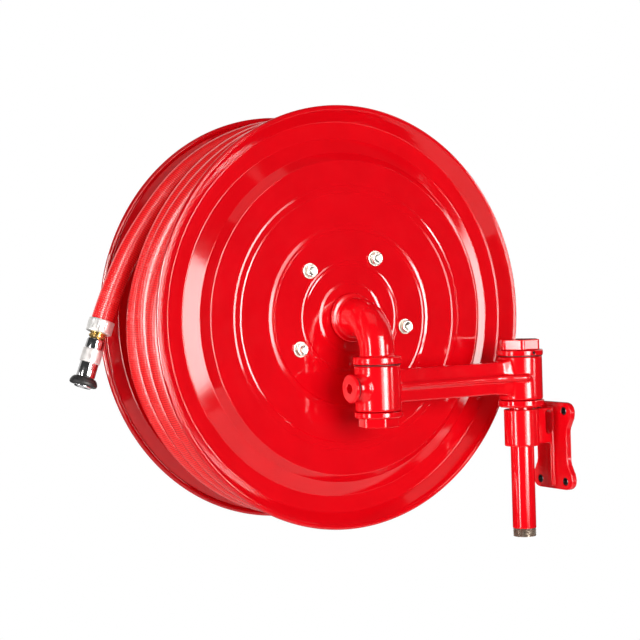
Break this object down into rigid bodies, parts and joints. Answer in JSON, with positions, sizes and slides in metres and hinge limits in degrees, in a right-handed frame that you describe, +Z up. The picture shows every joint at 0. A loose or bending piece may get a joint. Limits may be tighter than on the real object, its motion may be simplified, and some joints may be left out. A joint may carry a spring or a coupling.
{
  "type": "fire hose reel",
  "caption": "Wall-mounted fire hose reel on a two-pivot swing arm: pressed red discs, wound red hose, hub elbow, bottom inlet pipe and an adjustable nozzle.",
  "frame": {"origin": "centre of the wall plate's back face, where the bracket meets the wall", "axes": "+X into the wall, +Z up, +Y from the front disc to the rear disc"},
  "size_m": [0.6642, 0.3071, 0.618],
  "materials": {
    "red_enamel": "glossy signal red enamel over cast iron and pressed steel",
    "hose_cover": "red hose cover with fine cross ribs",
    "zinc_plate": "bright zinc plate",
    "chrome_plate": "polished chrome plate",
    "aluminium": "turned aluminium",
    "brass": "turned brass",
    "bronze": "plain bearing bronze",
    "plain_steel": "turned steel, lightly oiled",
    "black_rubber": "black moulded rubber",
    "nylon": "natural nylon"
  },
  "bodies": {
    "bracket": {"wall_bracket": "red_enamel", "inlet_pipe": "red_enamel", "pivot_spindle": "red_enamel", "pivot_collar": "red_enamel", "pivot_grub_screw": "plain_steel", "pivot_cap": "red_enamel", "pivot_seal_upper": "black_rubber", "pivot_seal_lower": "black_rubber", "pivot_thrust_washer": "nylon"},
    "arm": {"swing_arm": "red_enamel", "arm_plug": "red_enamel", "arm_plug_washer": "black_rubber"},
    "elbow": {"hub_elbow": "red_enamel", "swivel_thrust_washer": "nylon", "swivel_collar": "red_enamel", "swivel_nut": "red_enamel", "swivel_seal_upper": "black_rubber", "swivel_seal_lower": "black_rubber", "hub_spindle": "plain_steel", "hub_seal_front": "black_rubber", "hub_seal_rear": "black_rubber", "spindle_washer": "plain_steel", "spindle_circlip": "plain_steel"},
    "drum": {"front_disc": "red_enamel", "rear_disc": "red_enamel", "drum_core": "red_enamel", "hub_housing": "red_enamel", "hub_bush_front": "bronze", "hub_bush_rear": "bronze", "hub_end_cap": "red_enamel", "hose_outlet": "brass", "hose_clamp": "zinc_plate", "front_bolt_1": "zinc_plate", "front_bolt_2": "zinc_plate", "front_bolt_3": "zinc_plate", "front_bolt_4": "zinc_plate", "front_bolt_5": "zinc_plate", "front_washer_1": "zinc_plate", "front_washer_2": "zinc_plate", "front_washer_3": "zinc_plate", "front_washer_4": "zinc_plate", "front_washer_5": "zinc_plate", "rear_bolt_1": "zinc_plate", "rear_bolt_2": "zinc_plate", "rear_bolt_3": "zinc_plate", "rear_bolt_4": "zinc_plate", "rear_bolt_5": "zinc_plate", "rear_washer_1": "zinc_plate", "rear_washer_2": "zinc_plate", "rear_washer_3": "zinc_plate", "rear_washer_4": "zinc_plate", "rear_washer_5": "zinc_plate", "hose_winding": "hose_cover", "hose_tail": "hose_cover", "hose_ferrule": "aluminium", "nozzle_body": "brass"},
    "nozzle": {"nozzle_seal": "black_rubber", "nozzle_sleeve": "chrome_plate", "nozzle_bumper": "black_rubber", "nozzle_tip": "chrome_plate"}
  },
  "joints": [
    {"name": "arm_swing", "type": "hinge", "parent": "bracket", "child": "arm", "pos_m": [-0.063, 0, 0.197], "axis": [0, 0, 1], "range_deg": [0, 90]},
    {"name": "reel_swing", "type": "hinge", "parent": "arm", "child": "elbow", "pos_m": [-0.308, 0, 0.197], "axis": [0, 0, 1], "range_deg": [0, 160]},
    {"name": "drum_spin", "type": "hinge", "parent": "elbow", "child": "drum", "pos_m": [-0.308, 0.0696, 0.197], "axis": [0, 1, 0], "continuous": true},
    {"name": "nozzle_twist", "type": "hinge", "parent": "drum", "child": "nozzle", "pos_m": [-0.615, 0.2144, 0.2044], "axis": [-0.344, 0, -0.939], "range_deg": [0, 180]}
  ]
}
